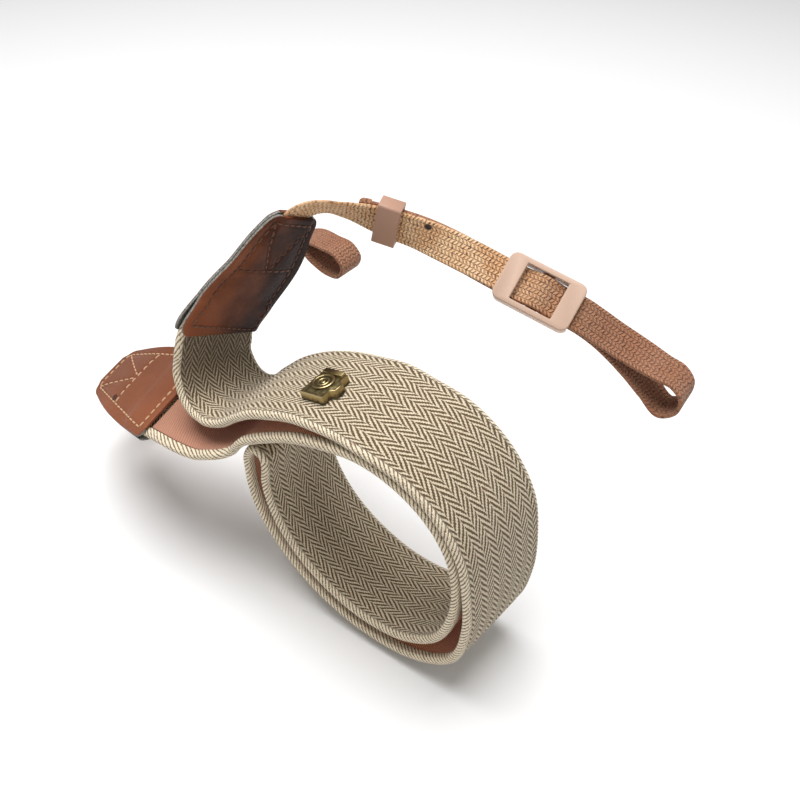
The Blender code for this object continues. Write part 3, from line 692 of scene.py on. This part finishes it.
def stitch_mesh(name, mouth, way, side, thread):
    """Stitches along every seam: half-sunk beads, radius times the root of 1 - a^6, with
    a from -1 to 1 along each stitch and b round it. Their ends dip by STITCH_BOW."""
    middles, ways = [], []
    for start, end in seam_lines():
        length = np.linalg.norm(end - start)
        count = max(2, int(round(length / STITCH_PITCH)))
        share = (np.arange(count)[:, None] + 0.5) / count
        middles.append(start + (end - start) * share)
        ways.append(np.repeat(((end - start) / length)[None], count, axis=0))
    middle, along = np.concatenate(middles), np.concatenate(ways)
    a = np.linspace(-1, 1, 9)[None, :, None]
    b = (np.arange(8) / 8 * 2 * np.pi)[None, None, :]
    radius = STITCH_RADIUS * (1 - a**6)**0.5 + STITCH_END
    reach, beside = a * STITCH_LENGTH / 2, radius * np.cos(b)
    (middle_x, middle_u), (along_x, along_u) = middle.T[..., None, None], along.T[..., None, None]
    x = middle_x + along_x * reach - along_u * beside
    u = middle_u + along_u * reach + along_x * beside
    height = (tab_room(x, u) + LEATHER - STITCH_SUNK + radius * np.sin(b) * STITCH_FLAT
              + LEATHER_CROWN - STITCH_BOW * a**2)
    points = strap.place(mouth + way * x, u, side * height)
    uv = np.stack(np.broadcast_arrays(b * STITCH_RADIUS, a * STITCH_LENGTH / 2), axis=3)[0]
    return surface(name, [(stitch, uv, True, True, 0) for stitch in points], [thread])


raw_suede = suede_material()
# Columns: letter, mouth, which way the tab goes from it, its leather's finish, its thread.
TAB_ENDS = (("a", TAB_A_MOUTH, 1, (CHESTNUT, CHESTNUT_DARK, CHESTNUT_SHINE), THREAD_A),
            ("b", TAB_B_MOUTH, -1, (SIENNA, SIENNA_DARK, SIENNA_SHINE, MARK), THREAD_B))
for letter, mouth, way, finish, thread_colour in TAB_ENDS:
    leather = leather_material(f"leather_{letter}", *finish)
    thread = thread_material(f"thread_{letter}", thread_colour)
    for face, side in (("front", -1), ("back", 1)):
        tab = tab_mesh(f"leather_{letter}_{face}", mouth, way, side, leather)
        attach(tab, "root")
        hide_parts(f"tab_{letter}_{face}")
        stitches = stitch_mesh(f"stitches_{letter}_{face}", mouth, way, side, thread)
        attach(stitches, "root")

# Webbings: narrow tan tape, woven in columns of small slanted stitches. Each is sewn into
# its tab, goes out, turns in a loop and comes back beneath through slider and keeper.
WEBBING_TUCK = 27.0
TUCK_ROWS = 6
WEBBING_STEP = 0.5
LAYER_GAP = 0.4
BACK_STEP = 6.2
SLIDER_LENGTH = 27.0
SLIDER_WINDOW = 14.6
HUMP = 2.2
# Where the way back starts, in slider lengths past the slider's middle.
TURN_BACK = 0.75
KEEPER_LENGTH = 8.0
FREE_END = 7.0
TURNED_UNDER = 4.0
END_FATTER = 0.65
END_ROUND = 0.8
WEB_COLUMN = 1.42
WEB_ROW = 1.35
TAN = (0.80, 0.460, 0.225)
TAN_PALE = (0.98, 0.66, 0.38)
RUSSET = (0.285, 0.095, 0.047)
WEB_SHADE = (0.27, 0.105, 0.048)
WEB_FLECK = (0.11, 0.042, 0.024)
RUSSET_FROM = 62.0
RUSSET_FULL = 125.0
# Middle and half sizes, across and along.
HOLE = ((-3.6, 45.4), (0.9, 1.3))
# Painted shade inside the hole.
HOLE_PAINTED_SHADE = (0.033, 0.0126, 0.0072)

# Columns as those of the tails.
WEBBING_A = (
    (-1.605, 0.95, 1.980, 2, -33), (-1.505, 1.04, 1.990, 2, -38),
    (-1.372, 1.14, 1.957, 2, -50), (-1.178, 1.23, 1.914, 0, -72),
    (-1.010, 1.29, 1.876, 0, -86), (-0.810, 1.36, 1.838, 0, -94),
    (-0.524, 1.40, 1.797, 0, -112), (-0.278, 1.43, 1.749, 0, -125),
    (0.070, 1.466, 1.671, 0, -137), (0.425, 1.511, 1.588, 0, -138),
    (0.700, 1.544, 1.522, 0, -138), (0.815, 1.558, 1.494, 0, -139),
    (0.949, 1.61, 1.414, 0, -142), (1.096, 1.66, 1.326, 0, -146),
    (1.348, 1.70, 1.227, 0, -154), (1.553, 1.70, 1.176, 0, -165),
    (1.706, 1.70, 1.144, 0, -171), (1.800, 1.68, 1.060, 0, -175),
    (1.800, 1.67, 0.925, 0, -177), (1.682, 1.67, 0.825, 0, -175),
    (1.471, 1.72, 0.925, 0, -168), (1.280, 1.72, 1.085, 0, -158),
)
WEBBING_B = (
    (-3.900, 0.05, -0.415, 1, 19), (-4.000, 0.13, -0.560, 19, 21),
    (-4.010, 0.28, -0.760, 59, 33), (-3.890, 0.52, -0.890, 105, 24),
    (-3.740, 0.82, -0.860, 114, 9), (-3.600, 1.12, -0.690, 115, 6),
    (-3.500, 1.36, -0.380, 113, 4), (-3.340, 1.58, 0.060, 135, -2),
    (-3.110, 1.685, 0.366, 158, -6), (-2.830, 1.72, 0.640, 163, -7),
    (-2.550, 1.755, 0.914, 165, -7), (-2.300, 1.75, 1.080, 175, -4),
    (-2.030, 1.70, 1.120, 184, -2), (-1.850, 1.69, 1.105, 184, -2),
    (-1.750, 1.68, 1.000, 184, -2), (-1.800, 1.68, 0.880, 184, -2),
    (-1.960, 1.70, 0.840, 184, -2), (-2.200, 1.72, 0.900, 182, -2),
)


def webbing_material(name, holed):
    """Stitches in columns: each a bead of a row's wave times a column's wave, slanted by
    turns, with dark flecks where the beads meet. Russet takes over from RUSSET_FROM on.
    Where it is holed the stitches part round an ellipse near one edge, and the ellipse is
    painted dark as painted shade inside the hole."""
    board = Board(name, TAN, 0.78, Sheen_Weight=0.1)
    both, across, along = board.uv()
    fine = board.noise(both, 1.4, 3.0) - 0.5
    slant = (across / WEB_COLUMN).math("PINGPONG", 1.0)
    row = ((along + slant * WEB_ROW * 0.55 + fine * 0.4) / WEB_ROW).math("PINGPONG", 0.5) * 2.0
    groove = (across / WEB_COLUMN).math("PINGPONG", 0.5) * 2.0
    yarn = row.step(0.0, 0.7) * groove.step(-0.15, 0.45)
    fleck = (1.0 - yarn) * board.noise(both, 0.9, 2.0).step(0.50, 0.62)
    slow = board.noise(both, 0.12, 2.0)
    # Redder and darker along the tape, from RUSSET_FROM to RUSSET_FULL, with a slow wander.
    russet_share = (along + slow * 20.0).step(RUSSET_FROM, RUSSET_FULL)
    base = board.mix(slow.step(0.35, 0.65), TAN, TAN_PALE)
    base = board.mix(russet_share * 0.85, base, RUSSET)
    colour = board.mix(yarn, board.mix(0.5, base, WEB_SHADE), base)
    colour = board.mix(fleck * 0.9, colour, WEB_FLECK)
    if holed:
        hole = board.spot(across, along, *HOLE)
        # Painted shade inside the hole.
        colour = board.mix(hole, colour, HOLE_PAINTED_SHADE)
        yarn = yarn - hole * 2.0
    return board.feed(colour, height=yarn + fine * 0.4, depth=0.0004, strength=1.0)


def webbing_route(end, way, stops, keeper, slider, outward):
    """The way out of the tab and round the loop, then the same way back one layer beneath,
    as point + normal times the pitch. Also the slider's place and axes on the way out."""
    depths = end - way * np.linspace(WEBBING_TUCK, 0.0, TUCK_ROWS)
    tuck = np.column_stack([strap.frames(depths)[0], strap.read(strap.rows[:, 3:], depths)])
    rows = tuck.tolist() + scaled(stops)
    main = Route(rows[:TUCK_ROWS + outward])
    keeper_at, slider_at = main.stops[TUCK_ROWS + keeper], main.stops[TUCK_ROWS + slider]
    free = keeper_at - KEEPER_LENGTH / 2 - FREE_END
    turn_back = slider_at + SLIDER_LENGTH * TURN_BACK
    back = np.linspace(turn_back, free, int((turn_back - free) / BACK_STEP) + 2)
    point, *_, normal = main.frames(back)
    pitch = WEBBING_THICKNESS + LAYER_GAP
    under = np.column_stack([point + normal * pitch, main.read(main.rows[:, 3:], back)])
    return Route(rows + under.tolist()), main.frame_at(slider_at)


def webbing_mesh(name, whole, slider_frame, material):
    """Round-edged tape carried along its route. In the slider's window both layers rise by
    HUMP times cos^2, and the free end is turned under, so it is nearly double there."""
    at = np.linspace(0.0, whole.length, int(whole.length / WEBBING_STEP))[:, None]
    half, r = WEBBING_WIDTH / 2, WEBBING_THICKNESS / 2
    turn = np.radians(np.linspace(-90, 90, 9))
    edge = np.stack([half - r + r * np.cos(turn), r * np.sin(turn)], 1)
    flat = np.linspace(half - r, -half + r, 19)[1:-1]
    face = np.stack([flat, np.full_like(flat, r)], 1)
    ring = np.concatenate([edge, face, -edge, -face])
    ahead = whole.length - at
    fat = 1.0 + END_FATTER * (ahead <= TURNED_UNDER) * np.clip(ahead / END_ROUND, 0, 1)**0.5
    grid = whole.place(at, ring[:, 0], ring[:, 1] * fat - r * (fat - 1))
    point, along, _, normal = slider_frame
    near = np.linalg.norm(grid - point, axis=2) < SLIDER_WINDOW
    x = ((grid - point) @ along) / SLIDER_WINDOW
    wave = HUMP * np.cos(np.pi * np.clip(x, -0.5, 0.5))**2 * near
    uv = np.stack(np.broadcast_arrays(ring[:, 0], at - WEBBING_TUCK), axis=2)
    return surface(name, [(grid - wave[..., None] * normal, uv, True, True, 0)], [material])


# Columns: letter, where its tab ends and which way it goes, its stops, the numbers of the
# stops at the keeper, at the slider and where it starts back, and whether it has the hole.
WEBBING_ENDS = (("a", strap.length, 1, WEBBING_A, 4, 9, 17, True),
                ("b", 0.0, -1, WEBBING_B, 6, 9, 13, False))
for letter, end, way, stops, keeper, slider, outward, holed in WEBBING_ENDS:
    tape = webbing_material(f"webbing_tape_{letter}", holed)
    route, slider_frame = webbing_route(end, way, stops, keeper, slider, outward)
    webbing = webbing_mesh(f"tape_{letter}", route, slider_frame, tape)
    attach(webbing, "root")
    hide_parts(f"webbing_{letter}")

# Sliders and keepers: moulded in matte plastic, pinkish beige, with softly rounded edges.
# The keepers are painted a darker, rosier brown, as painted shade. The slider's middle bar
# lies under both layers, and the keeper is a plain box loop.
BEIGE = (0.58, 0.400, 0.300)
# Painted shade: the keepers' plastic is darker and rosier than the sliders'.
KEEPER_PAINTED_SHADE_BEIGE = (0.44, 0.255, 0.180)
SLIDER_ROUND = 0.45
KEEPER_ROUND = 0.3
MERGE_WITHIN = 0.02


def plastic_material(name, colour):
    """Plain moulded plastic with a very fine texture in its gloss."""
    board = Board(name, colour, 0.42, Specular_IOR_Level=0.3)
    place = board.node("ShaderNodeTexCoord", output="Object")
    grain = board.noise(place, 900.0, 2.0)
    return board.feed(roughness=grain.step(0.3, 0.7, 0.36, 0.5), height=grain, depth=0.00002)


def rounded(name, node, width, material):
    """A merged copy of a solid, its flat faces joined and its edges bevelled by width."""
    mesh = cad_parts[node].data.copy()
    mesh.name = name
    bm = bmesh.new()
    bm.from_mesh(mesh)
    bmesh.ops.remove_doubles(bm, verts=bm.verts, dist=MERGE_WITHIN * MM)
    bmesh.ops.dissolve_limit(bm, angle_limit=math.radians(1), verts=bm.verts, edges=bm.edges)
    bm.to_mesh(mesh)
    bm.free()
    mesh.materials.clear()
    mesh.materials.append(material)
    mesh.shade_smooth()
    made = add_object(name, mesh)
    bevel = made.modifiers.new("edges", "BEVEL")
    bevel.width, bevel.segments = width * MM, 3
    bevel.limit_method, bevel.angle_limit = "ANGLE", math.radians(40)
    bevel.harden_normals = True
    return made


FITTINGS = (("slider", SLIDER_ROUND, BEIGE), ("keeper", KEEPER_ROUND, KEEPER_PAINTED_SHADE_BEIGE))
for kind, width, colour in FITTINGS:
    plastic = plastic_material(f"{kind}_plastic", colour)
    for letter in "ab":
        fitting = rounded(f"moulded_{kind}_{letter}", f"{kind}_{letter}", width, plastic)
        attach(fitting, "root")
        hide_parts(f"{kind}_{letter}")

# Badge: a small cast stud shaped like a camera, in antique brass: a plate with a hump, a
# raised lens of rings in the middle and a grip bar. It is riveted through the tweed.
BADGE_FROM_TAB = 86.0
BADGE_OFF_MIDDLE = 3.7
BADGE_WIDTH = 12.5
BADGE_LENGTH = 9.5
BADGE_THICKNESS = 3.0
BADGE_RELIEF = 0.9
BADGE_HUMP = 1.9
BAR_SUNK = 0.4
LENS_SHARE = 0.31
LENS_STEPS = 64
BRASS = (0.46, 0.365, 0.180)
BRASS_DARK = (0.075, 0.060, 0.030)

# Columns: share of the lens's radius, height in shares of the relief, and darkness.
LENS_RINGS = np.array([
    (1.0, -0.6, 0.6), (1.0, 0.62, 0.0), (0.97, 0.78, 0.0), (0.92, 0.9, 0.0), (0.80, 0.9, 0.0),
    (0.75, 0.8, 0.2), (0.70, 0.35, 1.0), (0.58, 0.32, 1.0), (0.53, 0.60, 0.3),
    (0.49, 0.72, 0.0), (0.38, 0.72, 0.0), (0.34, 0.6, 0.3), (0.30, 0.28, 1.0),
    (0.20, 0.26, 1.0), (0.15, 0.46, 0.2), (0.06, 0.56, 0.0)])
# Columns: half lengths and half widths from the middle, and shares of the hump added.
BADGE_PLATE = ((-1, 1, 0), (-1, -1, 0), (1, -1, 0), (1, -0.45, 0), (1, -0.28, 1), (1, 0.28, 1),
               (1, 0.45, 0), (1, 1, 0))
BADGE_BAR = ((-0.8, 0.97, 0), (-0.8, 0.62, 0), (0.9, 0.62, 0), (0.9, 0.97, 0))
# Columns: share of the outline and way down from the top.
DRAWN_IN = ((1.0, 0.25), (0.985, 0.07), (0.955, 0.0))
FOOT_DARK = 0.8
# Painted shade on the plate's flat top.
PLATE_PAINTED_SHADE = 0.75


def brass_material():
    """Dark in the hollows of the relief and towards the foot of the walls, and on the plate's
    flat top as painted shade. The map's second number says how dark.
    """
    board = Board("antique_brass", BRASS, 0.36, 1.0)
    hollow = board.uv()[2]
    place = board.node("ShaderNodeTexCoord", output="Object")
    worn = board.noise(place, 700.0, 4.0)
    dark = (hollow + (worn - 0.5) * 0.9).step(0.2, 0.9)
    colour = board.mix(dark, BRASS, BRASS_DARK)
    rough = dark.step(0.0, 1.0, 0.30, 0.62)
    return board.feed(colour, roughness=rough, height=worn, depth=0.00006)


def prism(outline, low, high, top_dark):
    """An upright wall on an outline, scaled about its middle, whose top edge is drawn in.
    Its map says how dark each row is."""
    edge = np.array(outline) @ [[BADGE_LENGTH / 2, 0], [0, BADGE_WIDTH / 2], [BADGE_HUMP, 0]]
    centre = edge.mean(0)
    steps = [(1.0, low)] + [(share, high - down) for share, down in DRAWN_IN]
    grid = np.stack([np.column_stack([centre + (edge - centre) * share, np.full(len(edge), z)])
                     for share, z in steps])
    uv = np.zeros((*grid.shape[:2], 2))
    uv[0, :, 1], uv[-1, :, 1] = FOOT_DARK, top_dark
    return grid, uv, True, True, 0


def badge_mesh():
    """The plate and bar are prisms, and the lens is a profile of radius and height turned
    in LENS_STEPS. A point is middle - first along + second across - third normal."""
    seat = BAND_THICKNESS / 2 + GAP
    top = seat + BADGE_THICKNESS
    turn = np.arange(LENS_STEPS) / LENS_STEPS * 2 * np.pi
    radius = LENS_RINGS[:, :1] * (BADGE_WIDTH * LENS_SHARE)
    lens = np.stack(np.broadcast_arrays(radius * np.cos(turn), radius * np.sin(turn),
                                        top + LENS_RINGS[:, 1:2] * BADGE_RELIEF), axis=2)
    lens_uv = np.stack(np.broadcast_arrays(turn, LENS_RINGS[:, 2:]), axis=2)
    patches = [prism(BADGE_PLATE, seat, top, PLATE_PAINTED_SHADE),
               prism(BADGE_BAR, top - BAR_SUNK, top + BADGE_RELIEF, 0.0),
               (lens, lens_uv, True, True, 0)]
    point, along, across, normal = strap.frame_at(TAB_A_MOUTH - BADGE_FROM_TAB)
    point = point - across * BADGE_OFF_MIDDLE
    placed = [(point - p[..., :1] * along + p[..., 1:2] * across - p[..., 2:] * normal, *rest)
              for p, *rest in patches]
    return surface("brass_stud", placed, [brass_material()], sharp=35)


badge = badge_mesh()
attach(badge, "root")
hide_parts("badge")

# Studio: a pale seamless floor just under the strap, a big soft light above, a weak one in
# front, an even white world and the camera. Its sizes are in metres, the camera's own two
# in millimetres.
FLOOR_SIZE = 6.0
FLOOR_DROP = 0.0006
FLOOR_WHITE = (0.93, 0.93, 0.93)
WORLD_STRENGTH = 0.27
CAMERA_AT = (0.10335, -0.15068, 0.20722)
CAMERA_RIGHT = (0.8207, 0.5717, 0.0179)
CAMERA_UP = (-0.3888, 0.5346, 0.7507)
SENSOR_WIDTH = 36.0
FOCAL_LENGTH = 37.09


def floor_mesh(height):
    """A level square of one colour at a height."""
    half = FLOOR_SIZE / 2
    mesh = bpy.data.meshes.new("floor")
    corners = [(x * half, y * half, height) for x, y in ((-1, -1), (1, -1), (1, 1), (-1, 1))]
    mesh.from_pydata(corners, [], [(0, 1, 2, 3)])
    mesh.materials.append(Board("floor_paint", FLOOR_WHITE, 0.9).material)
    return add_object("floor", mesh)


def soft_light(name, place, size, power):
    """A square area light at a place, which looks at the origin."""
    data = bpy.data.lights.new(name, "AREA")
    data.shape, data.size, data.energy = "SQUARE", size, power
    look = (-Vector(place)).to_track_quat("-Z", "Y").to_matrix().to_4x4()
    add_object(name, data).matrix_world = Matrix.Translation(place) @ look


floor = floor_mesh(cad_box[0][2] - FLOOR_DROP)
soft_light("top_light", (-0.15, 0.05, 1.10), size=0.8, power=16.5)
soft_light("front_light", (0.60, -0.60, 0.60), size=0.7, power=1.0)
world = bpy.data.worlds.new("studio")
world.use_nodes = True
background = world.node_tree.nodes["Background"]
background.inputs["Color"].default_value = (1.0, 1.0, 1.0, 1.0)
background.inputs["Strength"].default_value = WORLD_STRENGTH
bpy.context.scene.world = world
bpy.context.scene.view_settings.view_transform = "Standard"

camera_data = bpy.data.cameras.new("camera")
camera_data.sensor_width, camera_data.lens = SENSOR_WIDTH, FOCAL_LENGTH
camera_data.clip_start = 0.01
right = Vector(CAMERA_RIGHT).normalized()
up = Vector(CAMERA_UP)
up = (up - right * up.dot(right)).normalized()
turned = Matrix((right, up, right.cross(up))).transposed().to_4x4()
camera = add_object("camera", camera_data)
camera.matrix_world = Matrix.Translation(CAMERA_AT) @ turned
bpy.context.scene.camera = camera
